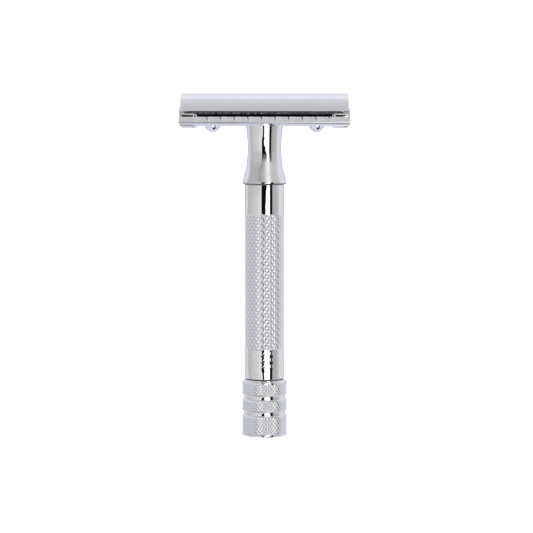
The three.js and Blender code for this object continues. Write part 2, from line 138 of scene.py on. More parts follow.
def weld(mesh, drop_slivers):
    """Joins points that meet and turns the normals outwards."""
    work = bmesh.new()
    work.from_mesh(mesh)
    bmesh.ops.remove_doubles(work, verts=work.verts, dist=2e-7)
    if drop_slivers:
        bmesh.ops.dissolve_degenerate(work, edges=work.edges, dist=1e-7)
    bmesh.ops.recalc_face_normals(work, faces=work.faces)
    work.to_mesh(mesh)
    work.free()


def finished(name, mesh, sharp):
    """The object of a mesh, where only edges bent more than `sharp` degrees stay crisp."""
    weld(mesh, True)
    mesh.shade_smooth()
    mesh.set_sharp_from_angle(angle=math.radians(sharp))
    mesh.name = name
    return linked(name, mesh)


def object_from(name, points, faces, sharp=32.0):
    return finished(name, mesh_from(name, points, faces), sharp)


def arc(centre, radius, start, end, steps):
    """Points of an arc in a section plane, with the angles in degrees."""
    angles = np.radians(np.linspace(start, end, steps + 1))
    return [(centre[0] + radius * math.cos(a), centre[1] + radius * math.sin(a)) for a in angles]


def eased(points, steps=5, closed=False):
    """Rounds a section's corners. A point is (across, up), or (across, up, rounding).

    Both ends of an open section stay as they are.
    """
    made = []
    count = len(points)
    for i, point in enumerate(points):
        here = np.array(point[:2], float)
        rounding = point[2] if len(point) > 2 else 0
        if rounding <= 0 or (not closed and i in (0, count - 1)):
            made.append(tuple(here))
            continue
        back = np.array(points[i - 1][:2], float) - here
        ahead = np.array(points[(i + 1) % count][:2], float) - here
        reach = [np.linalg.norm(back), np.linalg.norm(ahead)]
        back /= reach[0]
        ahead /= reach[1]
        half = math.acos(float(np.clip(back @ ahead, -1, 1))) / 2
        if half > 1.55:
            made.append(tuple(here))
            continue
        cut = min(rounding / math.tan(half), 0.48 * reach[0], 0.48 * reach[1])
        radius = cut * math.tan(half)
        centre = here + (back + ahead) / np.linalg.norm(back + ahead) * (radius / math.sin(half))
        first = here + back * cut - centre
        last = here + ahead * cut - centre
        start = math.atan2(first[1], first[0])
        sweep = math.atan2(last[1], last[0]) - start
        sweep = (sweep + math.pi) % TURN - math.pi
        for k in range(steps + 1):
            angle = start + sweep * k / steps
            made.append((centre[0] + radius * math.cos(angle), centre[1] + radius * math.sin(angle)))
    return made


def round_rows(profile):
    """Rows of a plain turned surface from (radius, level) points."""
    return [(radius, level, 0) for radius, level in profile]


def skin(rows, columns, closed):
    """Points and faces of a turned surface. A row is (radii, levels, shift in columns).

    Rows with unequal shifts are joined by triangles, so that slanted lines stay crisp.
    """
    points = []
    starts = []
    for radii, levels, shift in rows:
        radii = np.broadcast_to(radii, (columns,))
        levels = np.broadcast_to(levels, (columns,))
        starts.append(len(points))
        if np.all(radii < 1e-9):
            points.append((0, 0, levels[0]))
            continue
        angles = TURN * (np.arange(columns) + shift) / columns
        points += list(zip(radii * np.cos(angles), radii * np.sin(angles), levels))
    starts.append(len(points))
    faces = []
    joins = len(rows) if closed else len(rows) - 1
    for j in range(joins):
        k = (j + 1) % len(rows)
        a, b = starts[j], starts[k]
        a_pole = starts[j + 1] - a == 1
        b_pole = starts[k + 1] - b == 1
        a_shift, b_shift = rows[j][2], rows[k][2]
        for i in range(columns):
            n = (i + 1) % columns
            if a_pole:
                faces.append((a, b + n, b + i))
            elif b_pole:
                faces.append((a + i, a + n, b))
            elif a_shift == b_shift:
                faces.append((a + i, a + n, b + n, b + i))
            elif a_shift < b_shift:
                faces.append((a + i, a + n, b + i))
                faces.append((b + i, a + n, b + n))
            else:
                faces.append((a + i, b + n, b + i))
                faces.append((a + i, a + n, b + n))
    return points, faces


def skinned(name, rows, columns, closed=True, sharp=32.0):
    return object_from(name, *skin(rows, columns, closed), sharp)


def turned(name, profile, columns=128, sharp=32.0):
    """A turned solid from (radius, level) points that run up the outside and down the bore."""
    on_axis = profile[0][0] < 1e-9 and profile[-1][0] < 1e-9
    return skinned(name, round_rows(profile), columns, not on_axis, sharp)


def shifted(piece, x):
    """The piece, moved along the head."""
    piece.data.transform(Matrix.Translation((x * MM, 0, 0)))
    return piece


def loft(sections):
    """A solid through closed sections of equal length; each is a list of (x, y, z)."""
    points = [p for section in sections for p in section]
    count = len(sections[0])
    faces = []
    for s in range(len(sections) - 1):
        a, b = s * count, (s + 1) * count
        for i in range(count):
            n = (i + 1) % count
            faces.append((a + i, a + n, b + n, b + i))
    faces.append(tuple(range(count - 1, -1, -1)))
    faces.append(tuple(range(len(points) - count, len(points))))
    return points, faces


def offset(outline, inset):
    """Moves each point of a closed anticlockwise outline inwards by its own inset."""
    points = np.array(outline)
    back = points - np.roll(points, 1, axis=0)
    ahead = np.roll(points, -1, axis=0) - points
    normals = []
    for step in (back, ahead):
        length = np.maximum(np.linalg.norm(step, axis=1), 1e-9)[:, None]
        normals.append(np.stack([step[:, 1], -step[:, 0]], axis=1) / length)
    middle = normals[0] + normals[1]
    size = np.maximum(np.linalg.norm(middle, axis=1), 1e-9)[:, None]
    middle /= size
    lean = np.maximum(np.sum(middle * normals[0], axis=1), 0.5)[:, None]
    inset = np.broadcast_to(inset, (len(points),))[:, None]
    return points - middle / lean * inset, middle


def quarter_turn(steps):
    return [math.pi / 2 * k / steps for k in range(steps + 1)]


def eased_prism(outline, start, end, rounding, steps):
    """Sections of a prism whose two ends are rounded, each as (place along it, outline)."""
    angles = quarter_turn(steps)
    first = [(start + rounding * (1 - math.cos(a)), rounding * (1 - math.sin(a))) for a in angles]
    last = [(start + end - along, inset) for along, inset in reversed(first)]
    return [(along, offset(outline, inset)[0]) for along, inset in first + last]


def block(x, y, z, rounding, steps=4):
    """Points and faces of a box with rounded edges, between two places on each axis."""
    work = bmesh.new()
    cube = bmesh.ops.create_cube(work, size=1.0)
    for vertex in cube["verts"]:
        for axis, ends in enumerate((x, y, z)):
            vertex.co[axis] = max(ends) if vertex.co[axis] > 0 else min(ends)
    bmesh.ops.bevel(
        work, geom=work.edges[:], offset=rounding, segments=steps, profile=0.5, affect="EDGES"
    )
    work.verts.ensure_lookup_table()
    points = [tuple(v.co) for v in work.verts]
    faces = [tuple(v.index for v in face.verts) for face in work.faces]
    work.free()
    return points, faces


def raw_object(name, points, faces):
    """A plain object for a boolean cut."""
    mesh = mesh_from(name, points, faces)
    weld(mesh, False)
    return linked(name, mesh)


def merged(parts):
    """One (points, faces) from several."""
    points, faces = [], []
    for part_points, part_faces in parts:
        start = len(points)
        points += list(part_points)
        faces += [tuple(start + i for i in face) for face in part_faces]
    return points, faces


def cut(name, base, tools, sharp=32.0):
    """Applies (operation, (points, faces)) tools to a base solid, in order."""
    body = raw_object(name + "_body", *base)
    helpers = []
    for operation, tool in tools:
        helper = raw_object(name + "_tool", *tool)
        helpers.append(helper)
        modifier = body.modifiers.new("cut", "BOOLEAN")
        modifier.operation = operation
        modifier.solver = "EXACT"
        modifier.object = helper
    bpy.context.view_layer.update()
    graph = bpy.context.evaluated_depsgraph_get()
    mesh = bpy.data.meshes.new_from_object(body.evaluated_get(graph))
    for spare in [body, *helpers]:
        spare_mesh = spare.data
        bpy.data.objects.remove(spare)
        bpy.data.meshes.remove(spare_mesh)
    return finished(name, mesh, sharp)


def tube_tool(radius, bottom, top, x=0.0, columns=96):
    """Points and faces of a plain cylinder, to cut a hole with."""
    rows = round_rows([(0, bottom), (radius, bottom), (radius, top), (0, top)])
    points, faces = skin(rows, columns, False)
    return [(px + x, py, pz) for px, py, pz in points], faces


def moved_by(matrix, points):
    return [tuple(matrix @ Vector(p)) for p in points]


def paint_crevice_shade(piece, depth):
    """Stores on the mesh how much painted shade each point gets in crevices and seams, 0 to 1, by
    reach and level.
    """
    mesh = piece.data
    places = np.empty(3 * len(mesh.vertices))
    mesh.vertices.foreach_get("co", places)
    x, y, z = places.reshape(-1, 3).T / MM
    layer = mesh.attributes.new("crevice_shade", "FLOAT", "POINT")
    layer.data.foreach_set("value", depth(np.hypot(x, y), z).astype(np.float32))


# ------ knurling and threads


def knurled_rows(radius, bottom, top, around, height, fine, depth, width, fade):
    """Rows of a band with `around` diamonds in its round, each `height` tall.

    Each diamond is `fine` columns wide, and the grid's slanted lines follow the grooves. A
    groove's half width is `width` of a diamond, and the grooves fade out at both ends.
    """
    columns = around * fine
    step = height / (2 * fine)
    count = int(round((top - bottom) / step))
    step = (top - bottom) / count
    rows = []
    index = np.arange(columns)
    for k in range(count + 1):
        shift = (k % 2) / 2
        level = bottom + k * step
        one = (index + shift + k / 2) / fine
        other = (index + shift - k / 2) / fine
        near = np.minimum(np.abs(one - np.round(one)), np.abs(other - np.round(other)))
        groove = 1 - np.clip(near / width, 0, 1)
        edge = min(level - bottom, top - level)
        strength = float(np.clip(edge / fade, 0, 1))
        rows.append((radius - depth * groove * strength, level, shift))
    return rows, columns


def threaded_rows(crest, root, pitch, bottom, top, columns, step, fade=0.4):
    """Rows of a right-hand screw thread. It fades to the root at both ends."""
    angles = np.arange(columns) / columns
    count = max(2, int(round((top - bottom) / step)))
    rows = []
    for k in range(count + 1):
        level = bottom + (top - bottom) * k / count
        phase = level / pitch - angles
        wave = np.abs(phase - np.round(phase)) * 2
        share = np.clip((0.875 - wave) / 0.75, 0, 1)
        strength = float(np.clip(min(level - bottom, top - level) / fade, 0, 1))
        rows.append((root + (crest - root) * share * strength, level, 0))
    return rows


# ------ handle tube


def make_tube():
    """The tube, with the knurling and a faintly worn band below it."""
    radius = TUBE.radius
    knurl_bottom = TUBE.bottom + 7.3
    knurl_top = TUBE.top - 7.25
    worn_bottom = TUBE.bottom + 2.6
    grid = {"around": 26, "height": 1.6, "fine": 8, "fade": 0.3}
    rows, columns = knurled_rows(radius, knurl_bottom, knurl_top, depth=0.14, width=0.25, **grid)
    worn, _ = knurled_rows(radius, worn_bottom, knurl_bottom, depth=0.017, width=0.25, **grid)
    lower = eased([
        (TUBE_BORE, knurl_bottom),
        (TUBE_BORE, TUBE.bottom, 0.1),
        (radius, TUBE.bottom, 0.12),
        (radius, worn_bottom - 0.1),
    ])
    upper = eased([
        (radius, knurl_top + 0.1),
        (radius, TUBE.top, 0.12),
        (TUBE_BORE, TUBE.top, 0.1),
        (TUBE_BORE, knurl_bottom),
    ])
    rows = round_rows(lower) + worn[:-1] + rows + round_rows(upper[:-1])
    tube = skinned("handle_tube_knurled", rows, columns, sharp=50)

    # Painted shade: the colour is darkened in the knurl's grooves and along the tube's top edge,
    # under the neck's lip.
    def depth(reach, level):
        knurl_shade = np.clip((radius - reach - 0.05) / 0.14, 0, 1) * (reach > radius - 0.3)
        knurl_shade *= 0.2 * (level > knurl_bottom) * (level < knurl_top)
        seam_shade = np.clip((level - TUBE.top + 0.1) / 0.05, 0, 1)
        return np.maximum(knurl_shade, seam_shade)

    paint_crevice_shade(tube, depth)
    return tube


# ------ knob


def make_knob():
    """Three knurled bands with two smooth grooves, and the sockets for the rod and the plug."""
    radius = KNOB.radius
    base = KNOB.bottom
    foot_round = 0.4
    groove_depth = 0.35
    grooves = [(5.08, 6.4), (9.06, 10.4)]
    shoulder = 13.45
    top_radius = 4.95
    socket_radius, socket_top = 2.6, base + 5.0
    bands = [(0.62, grooves[0][0]), (grooves[0][1], grooves[1][0]), (grooves[1][1], shoulder)]
    grid = {"around": 44, "height": 1.2, "fine": 5, "depth": 0.13, "width": 0.38, "fade": 0.18}
    rows = round_rows(arc((radius - foot_round, base + foot_round), foot_round, -90, 0, 6))
    for i, (bottom, top) in enumerate(bands):
        band, columns = knurled_rows(radius, base + bottom, base + top, **grid)
        rows += band
        if i < len(grooves):
            low, high = grooves[i]
            half = (high - low) / 2
            for share in np.linspace(-1, 1, 23)[1:-1]:
                inward = groove_depth * (1 - share**6)
                rows.append((radius - inward, base + low + half * (1 + share), 0))
    inner = eased([
        (radius, base + shoulder),
        (radius, KNOB.top - 0.4, 0.3),
        (top_radius + 0.17, KNOB.top - 0.3, 0.08),
        (top_radius + 0.15, KNOB.top, 0.06),
        (ROD_HOLE, KNOB.top, 0.08),
        (ROD_HOLE, socket_top),
        (socket_radius, socket_top),
        (socket_radius, base, 0.12),
        (radius - foot_round, base),
    ])
    rows += round_rows(inner[1:-1])
    knob = skinned("knob_knurled", rows, columns, sharp=50)

    # Painted shade: the colour is darkened in the knurl's grooves, but not in the two smooth grooves.
    def depth(reach, level):
        knurl_shade = np.clip((radius - reach - 0.04) / 0.11, 0, 1) * (reach > radius - 0.2)
        for low, high in grooves:
            knurl_shade *= (level < base + low - 0.02) | (level > base + high + 0.02)
        return 0.15 * knurl_shade * (level > base + 0.6) * (level < base + shoulder - 0.01)

    paint_crevice_shade(knob, depth)
    return knob


def make_end_plug():
    dish = 0.06
    profile = [(0, PLUG.bottom + dish)] + eased([
        (PLUG.radius - 0.5, PLUG.bottom + dish),
        (PLUG.radius - 0.3, PLUG.bottom, 0.1),
        (PLUG.radius, PLUG.bottom, 0.1),
        (PLUG.radius, PLUG.top, 0.08),
        (0, PLUG.top),
    ])
    return turned("knob_end_plug_turned", profile)


def make_knob_screw():
    """A cap screw with a hexagon recess in its head, which faces down."""
    head_top = SCREW.bottom + 1.6
    head, crest, root, pitch, columns = 2.3, 1.2, 1.0, 0.4, 64
    recess_radius, recess_depth = 1.1, 0.9
    outer = [(0, SCREW.bottom)] + eased([
        (0.9, SCREW.bottom),
        (head, SCREW.bottom, 0.2),
        (head, head_top, 0.1),
        (crest, head_top, 0.05),
        (crest, head_top + 0.5),
    ])
    rows = round_rows(outer)
    rows += threaded_rows(crest, root, pitch, head_top + 0.55, SCREW.top - 0.25, columns, 0.04)
    rows += round_rows([(root, SCREW.top - 0.1), (root - 0.2, SCREW.top), (0, SCREW.top)])
    screw = skin(rows, columns, False)
    recess_top = SCREW.bottom + recess_depth
    recess = tube_tool(recess_radius, SCREW.bottom - 0.5, recess_top, columns=6)
    return cut("knob_screw_threaded", screw, [("DIFFERENCE", recess)])


# ------ stud and spindle


def make_stud():
    """The threaded stud, with a collar and a spigot at its top that the cap sits on."""
    shoulder = APEX - 0.12
    columns = 96
    foot = [(0.5, STUD.bottom), (1.8, STUD.bottom, 0.1), (STUD_ROOT, STUD.bottom + 0.3)]
    rows = round_rows([(0, STUD.bottom)] + eased(foot))
    rows += threaded_rows(
        STUD_CREST, STUD_ROOT, PITCH, STUD.bottom + 0.34, shoulder - 1.6, columns, 0.05
    )
    rows += round_rows(eased([
        (STUD_ROOT, shoulder - 1.5),
        (STUD_ROOT, shoulder - 1.3, 0.1),
        (STUD_CREST, shoulder - 1.0, 0.1),
        (STUD_CREST, shoulder, 0.05),
        (STUD_SPIGOT, shoulder, 0.03),
        (STUD_SPIGOT, STUD.top, 0.1),
        (0.5, STUD.top),
    ]))
    rows.append((0, STUD.top, 0))
    return skinned("cap_stud_threaded", rows, columns, closed=False, sharp=50)


def make_spindle():
    """The rod, its head with the nut's female thread, and the flats that drive the knob."""
    columns = 96
    bottom = SPINDLE.bottom
    head = SPINDLE.radius
    head_bottom = SPINDLE.top - 17
    nut_floor = SPINDLE.top - 11
    screw_hole, screw_hole_top = 1.25, bottom + 6.1
    flat = 1.6
    groove_radius = 1.6
    groove_bottom, groove_top = CLIP.bottom - 0.05, CLIP.top + 0.05
    outside = eased([
        (screw_hole, bottom),
        (ROD_RADIUS, bottom, 0.15),
        (ROD_RADIUS, groove_bottom, 0.04),
        (groove_radius, groove_bottom, 0.03),
        (groove_radius, groove_top, 0.03),
        (ROD_RADIUS, groove_top, 0.04),
        (ROD_RADIUS, head_bottom - 2, 0.5),
        (head, head_bottom, 0.5),
        (head, SPINDLE.top, 0.15),
        (NUT_ROOT, SPINDLE.top, 0.12),
        (NUT_ROOT, SPINDLE.top - 0.3),
    ])
    female = threaded_rows(
        NUT_ROOT, NUT_CREST, PITCH, nut_floor + 0.3, SPINDLE.top - 0.4, columns, 0.05, fade=0.01
    )
    rows = round_rows([(0, screw_hole_top), (screw_hole, screw_hole_top), *outside])
    rows.append((NUT_ROOT, SPINDLE.top - 0.35, 0))
    rows += reversed(female)
    rows += round_rows([(NUT_CREST, nut_floor + 0.2), (NUT_CREST, nut_floor), (0, nut_floor - 1)])
    spindle = skin(rows, columns, False)
    tools = []
    for side in (-1, 1):
        beside = [side * flat, side * (ROD_RADIUS + 1)]
        tools.append(("DIFFERENCE", block([-3, 3], beside, [bottom - 1, KNOB.top + 0.1], 0.02, 1)))
    return cut("drive_spindle_turned", spindle, tools, sharp=50)


# ------ washers, ring and bushes


def make_bush(name, box):
    """A bush with a shallow groove round its middle."""
    middle = box.middle[2]
    groove = box.radius - 0.15
    profile = eased([
        (ROD_HOLE, box.bottom, 0.2),
        (box.radius, box.bottom, 0.2),
        (box.radius, middle - 0.5, 0.05),
        (groove, middle - 0.35, 0.1),
        (groove, middle + 0.35, 0.1),
        (box.radius, middle + 0.5, 0.05),
        (box.radius, box.top, 0.2),
        (ROD_HOLE, box.top, 0.2),
    ], steps=4, closed=True)
    return turned(name, profile)


def ring_profile(outer, bottom, top, edge, steps):
    """A flat ring round the rod, with rounded edges."""
    return eased([
        (ROD_HOLE, bottom, edge),
        (outer, bottom, edge),
        (outer, top, edge),
        (ROD_HOLE, top, edge),
    ], steps=steps, closed=True)


def make_washer(name, box):
    return turned(name, ring_profile(box.radius, box.bottom, box.top, 0.06, 4))


def make_wave_washer():
    columns, waves = 144, 3
    height, half_thickness, edge = 0.18, 0.1, 0.04
    rise = height * np.cos(waves * TURN * np.arange(columns) / columns)
    profile = ring_profile(WAVE.radius, -half_thickness, half_thickness, edge, 3)
    rows = [(r, WAVE.middle[2] + z + rise, 0) for r, z in profile]
    return skinned("wave_spring_washer_pressed", rows, columns)


def make_clip():
    """An open retaining ring, its mouth towards +X."""
    inner, outer = 1.7, 3.2
    mouth, tip = 0.5, 0.55
    outline = [
        (radius * math.cos(angle), radius * math.sin(angle))
        for radius, start, end in ((outer, mouth, TURN - mouth), (inner, TURN - tip, tip))
        for angle in np.linspace(start, end, 97)
    ]
    sections = eased_prism(outline, CLIP.bottom, CLIP.top, 0.05, 3)
    ring = loft([[(x, y, level) for x, y in points] for level, points in sections])
    return object_from("spindle_retaining_ring_stamped", *ring)


# ------ neck


def spline(points, steps):
    """A smooth line through every point, in the uniform Catmull-Rom form."""
    p = [np.array(q, float) for q in points]
    p = [2 * p[0] - p[1], *p, 2 * p[-1] - p[-2]]
    made = []
    for i in range(1, len(p) - 2):
        for k in range(steps):
            t = k / steps
            a, b, c, d = p[i - 1], p[i], p[i + 1], p[i + 2]
            square, cube = 2 * a - 5 * b + 4 * c - d, 3 * b - a - 3 * c + d
            made.append(tuple(0.5 * (2 * b + (c - a) * t + square * t**2 + cube * t**3)))
    made.append(tuple(p[-2]))
    return made


def make_neck():
    """The waisted neck, with its spigot in the tube and a rounded lip over the tube's top."""
    foot = TUBE.top
    top = NECK.top
    lip_round = 0.36
    seat = foot + 0.005
    waist = [
        (5.55, foot + 0.65),
        (5.2, foot + 2.05),
        (4.6, foot + 4.35),
        (4.28, foot + 7.35),
        (4.22, foot + 9.05),
        (4.34, top - 2.7),
        (4.67, top),
    ]
    spigot = TUBE_BORE - PRESS_GAP
    lower = eased([
        (NECK_BORE, NECK.bottom, 0.1),
        (spigot, NECK.bottom, 0.2),
        (spigot, seat),
        (TUBE.radius - 0.25, seat),
        (TUBE.radius - 0.2, seat, 0.05),
    ])
    lip = arc((5.2, foot + lip_round), lip_round, -90, -2, 9)
    profile = lower + lip + spline(waist, 14)[1:]
    profile += eased([(4.6, top), (NECK_BORE, top, 0.1), (NECK_BORE, NECK.bottom + 1)])
    neck = turned("neck_collar_turned", profile, columns=192, sharp=40)
    # Painted shade: the lower half of the lip's rounding, just over the tube's top, is darkened.
    paint_crevice_shade(neck, lambda reach, level: np.clip((foot + lip_round - level) / 0.12, 0, 1))
    return neck


# ------ base plate


def plate_section():
    """The plate's outline across the head, anticlockwise as seen from +X, from the right."""
    half_width = PLATE.high[1]
    curve_bottom = UNDERSIDE + 0.68
    sweep = 1.31
    reach = (half_width - RIDGE) / math.sin(sweep)
    drop = (RIDGE_LEVEL - curve_bottom) / (1 - math.cos(sweep))
    bar = [
        (RIDGE + reach * math.sin(a), RIDGE_LEVEL - drop * (1 - math.cos(a)))
        for a in np.linspace(sweep, 0, 29)
    ]
    lean = math.degrees(math.asin(TABLE_HALF_WIDTH / TABLE_RADIUS))
    table = arc((0, BEND_CENTRE), TABLE_RADIUS, 90 - lean, 90, 40)
    half = eased([
        (8.0, UNDERSIDE),
        (half_width - 1.2, UNDERSIDE, 0.3),
        (half_width - 0.7, UNDERSIDE + 0.3, 0.2),
        (half_width - 0.12, UNDERSIDE + 0.5, 0.16),
        (*bar[0], 0.14),
        bar[3],
    ])
    half += bar[4:]
    half += eased([
        (RIDGE - 0.1, RIDGE_LEVEL),
        (RIDGE_INSIDE, RIDGE_LEVEL, 0.14),
        (RIDGE_INSIDE, TROUGH_FLOOR, 0.2),
        (TABLE_HALF_WIDTH, TROUGH_FLOOR, 0.2),
        table[0] + (0.16,),
        table[3],
    ])
    half += table[4:]
    other = [(-y, z) for y, z in reversed(half[:-1])]
    return [(0.0, UNDERSIDE)] + half + other


def flute_tool(x, back):
    """One flute's cutter, which falls outwards and slants along the bar.

    Its left wall is round and its floor rises gently to the right.
    """
    fall, slant = 0.7, 0.31
    wall_radius, depth_at_ridge = 0.8, 0.27
    right, above, outward, inward = 0.95, 1.4, -2.5, 1.2
    wall = arc((0, wall_radius), wall_radius, 190, 264, 12)
    outline = [(-wall_radius, above), *wall, (right, 0.3), (right, above)]
    points, faces = loft([[(across, y, up) for across, up in outline] for y in (outward, inward)])
    seat = (
        Matrix.Translation((x, -RIDGE, RIDGE_LEVEL - depth_at_ridge))
        @ Matrix.Rotation(slant, 4, "Z")
        @ Matrix.Rotation(fall, 4, "X")
    )
    if back:
        seat = Matrix.Rotation(math.pi, 4, "Z") @ seat
    return moved_by(seat, points), faces


def foot_tool(side):
    """A foot across the whole plate at one end, narrower at its bottom on every side."""
    inner, outer, half_width = 16.8, PLATE.high[0] - 0.3, 11.3
    slope = 0.7
    outline = eased([
        (inner, FOOT_TOP),
        (inner + 0.7, PLATE.bottom, 0.25),
        (outer - 0.35, PLATE.bottom, 0.3),
        (outer, FOOT_TOP),
    ], steps=6, closed=True)
    sections = []
    for y, points in eased_prism(outline, -half_width, half_width, 0.3, 5):
        lean = math.copysign(slope, y)
        sections.append([(side * px, y - lean * (FOOT_TOP - pz), pz) for px, pz in points])
    return loft(sections)


def corner_tools():
    """Guards, trough walls and corner uprights, each as one set of four."""
    end = PLATE.high[0] - 0.01
    kinds = [
        # along the head, across it, height above the ridge, rounding
        ((17.05, 20.35), (10.62, 11.08), 0.75, 0.2),
        ((16.5, 17.1), (7.4, 10.85), 0.55, 0.12),
        ((20.32, end), (9.85, 10.98), 1.8, 0.26),
    ]
    sets = []
    for along, across, height, rounding in kinds:
        levels = [TROUGH_FLOOR - 0.15, RIDGE_LEVEL + height]
        blocks = []
        for sx in (-1, 1):
            for sy in (-1, 1):
                x = [sx * reach for reach in along]
                y = [sy * reach for reach in across]
                blocks.append(block(x, y, levels, rounding))
        sets.append(merged(blocks))
    return sets


def make_plate():
    """The plate with its flutes, feet, corner parts and holes, and painted shade in a thin line low
    on each bar.
    """
    end = PLATE.high[0]
    flute_count, flute_pitch, flute_shift = 11, 3.3, -0.4
    stud_hole, pin_hole = 2.75, 1.15
    bar_shade_level = UNDERSIDE + 0.54
    sections = eased_prism(plate_section(), -end, end, 0.1, 4)
    body = loft([[(x, y, z) for y, z in points] for x, points in sections])
    flutes = []
    for k in range(flute_count):
        x = (k - (flute_count - 1) // 2) * flute_pitch + flute_shift
        flutes += [flute_tool(x, False), flute_tool(x, True)]
    below, above = PLATE.bottom - 1, APEX + 1
    holes = [tube_tool(stud_hole, below, above)]
    for side in (-1, 1):
        holes.append(tube_tool(pin_hole, below, above, x=side * PIN_X, columns=64))
    tools = [("DIFFERENCE", merged(flutes)), ("UNION", merged([foot_tool(-1), foot_tool(1)]))]
    tools += [("UNION", tool) for tool in corner_tools()]
    tools.append(("DIFFERENCE", merged(holes)))
    plate = cut("base_plate_cast", body, tools, sharp=28)
    # Painted shade: a thin band low on each bar's outer rounding is darkened.
    paint_crevice_shade(plate, lambda reach, level: 0.33 * (np.abs(level - bar_shade_level) < 0.12))
    return plate


def make_cup(name, x):
    """A closed dome with a blind bore for a locating pin."""
    bore, bore_bottom = 1.3, CUP.bottom + 0.7
    height = CUP.size[2]
    radius = (CUP.radius**2 + height**2) / (2 * height)
    centre = CUP.bottom + radius
    rim = math.degrees(math.asin((CUP.top - centre) / radius))
    profile = arc((0, centre), radius, -90, rim, 28)
    profile[0] = (0, CUP.bottom)
    profile += eased([
        (profile[-1][0] - 0.02, CUP.top),
        (bore, CUP.top, 0.06),
        (bore, bore_bottom, 0.3),
        (0, bore_bottom),
    ])[1:]
    return shifted(turned(name, profile, columns=96), x)


# ------ cap


def make_cap():
    """The bowed cap. Its ends are rounded more above than below, and its lips lean outwards."""
    half_width = CAP.high[1]
    half_length = CAP.high[0]
    bottom = BEND_CENTRE + math.sqrt(CAP_UNDERSIDE**2 - half_width**2)
    edge_top = bottom + 0.3
    rise = CAP.top - edge_top
    radius = (half_width**2 + rise**2) / (2 * rise)
    centre = CAP.top - radius
    spread = math.degrees(math.asin(half_width / radius))
    under = math.degrees(math.asin((half_width - 0.15) / CAP_UNDERSIDE))
    upper = arc((0, centre), radius, 90 - spread, 90 + spread, 96)
    lower = arc((0, BEND_CENTRE), CAP_UNDERSIDE, 90 + under, 90 - under, 72)
    outline = eased(
        [upper[0] + (0.06,), *upper[2:-2], upper[-1] + (0.06,)]
        + [(-half_width, bottom + 0.05, 0.1), *lower, (half_width, bottom + 0.05, 0.1)],
        steps=10,
        closed=True,
    )
    _, normals = offset(outline, 0)
    facing_up = np.clip(normals[:, 1] * 1.5 + 0.9, 0, 1)
    top_round, low_round, lip_lean = 0.55, 0.12, 0.12
    stations = [
        (half_length - top_round * (1 - math.cos(a)), 1 - math.sin(a)) for a in quarter_turn(10)
    ]
    sections = []
    for x, share in [(-x, share) for x, share in stations] + stations[::-1]:
        inset = (top_round * facing_up + low_round * (1 - facing_up)) * share
        points, _ = offset(outline, inset)
        in_lip = np.clip(np.abs(points[:, 0]) - half_width + 1, 0, 1)
        in_lip *= np.clip((points[:, 1] - bottom) / (edge_top - bottom), 0, 1)
        points[:, 0] -= lip_lean * np.sign(points[:, 0]) * in_lip
        draft = np.sign(x) * 0.05 * (points[:, 1] - CAP.bottom) / (CAP.top - CAP.bottom)
        sections.append([(x - d, p[0], p[1]) for p, d in zip(points, draft)])
    body = loft(sections)
    below = CAP.bottom - 0.8
    stud_seat, pin_seat = STUD_SPIGOT + PRESS_GAP, PIN_SPIGOT + PRESS_GAP
    seats = [tube_tool(stud_seat, below, STUD.top + PRESS_GAP, columns=64)]
    for side in (-1, 1):
        seat = tube_tool(pin_seat, below, PIN.top + PRESS_GAP, x=side * PIN_X, columns=48)
        seats.append(seat)
    return cut("top_cap_bowed", body, [("DIFFERENCE", merged(seats))], sharp=35)


def make_pin(name, x):
    shoulder = APEX - 0.05
    profile = [(0, PIN.bottom)] + eased([
        (0.3, PIN.bottom),
        (0.6, PIN.bottom, 0.1),
        (PIN_SHANK, PIN.bottom + 0.45, 0.25),
        (PIN_SHANK, shoulder, 0.03),
        (PIN_SPIGOT, shoulder, 0.02),
        (PIN_SPIGOT, PIN.top, 0.08),
        (0, PIN.top),
    ])
    return shifted(turned(name, profile, columns=96), x)


# ------ blade


def blade_outline():
    """The blade's outline from above once bent, without its slot."""
    end_x = BLADE.high[0]
    edge_x = 18.65
    tab_half_width = 6.5
    tab_y = BEND * math.sin(tab_half_width / BEND)
    edge_y = BLADE.high[1] + 0.05
    quarter = eased([
        (end_x, 0),
        (end_x, tab_y, 0.8),
        (edge_x, tab_y, 0.35),
        (edge_x, edge_y, 0.12),
        (0, edge_y),
    ], steps=6)
    upper = quarter + [(-x, y) for x, y in reversed(quarter[:-1])]
    return upper + [(x, -y) for x, y in reversed(upper[1:-1])]


def slot_outline():
    """The slot, with round openings at the stud and the two pins."""
    half, end_x = 1.2, 15.2
    upper = [(end_x, 0), (end_x, half, 0.5)]
    for x, radius, steps in ((PIN_X, 1.9, 28), (0, 2.95, 40), (-PIN_X, 1.9, 28)):
        angle = math.degrees(math.asin(half / radius))
        upper += arc((x, 0), radius, angle, 180 - angle, steps)
    upper += [(-end_x, half, 0.5), (-end_x, 0)]
    upper = eased(upper)
    return upper + [(x, -y) for x, y in reversed(upper[1:-1])]


def prism(outline, bottom, top):
    return loft([[(x, y, level) for x, y in outline] for level in (bottom, top)])


def make_blade():
    """A bent sheet with ground edges, trimmed to the blade's outline."""
    half_width, ground_width = 11, 0.75
    half_edge, half_thickness = 0.004, 0.05
    half_angle = half_width / BEND
    ground = ground_width / BEND
    outer, inner = [], []
    for a in np.linspace(-half_angle, half_angle, 89):
        share = min(1.0, (half_angle - abs(a)) / ground)
        half = half_edge + (half_thickness - half_edge) * share
        outer.append(((BEND + half) * math.sin(a), BEND_CENTRE + (BEND + half) * math.cos(a)))
        inner.append(((BEND - half) * math.sin(a), BEND_CENTRE + (BEND - half) * math.cos(a)))
    section = outer[::-1] + inner
    reach = BLADE.high[0] + 1
    sheet = loft([[(x, y, z) for y, z in section] for x in (-reach, reach)])
    below, above = APEX - 6, APEX + 1
    trim = prism(blade_outline(), below, above)
    slot = prism(slot_outline(), below, above)
    tools = [("INTERSECT", trim), ("DIFFERENCE", slot)]
    return cut("razor_blade_ground", sheet, tools, sharp=12)


# ------ node helpers


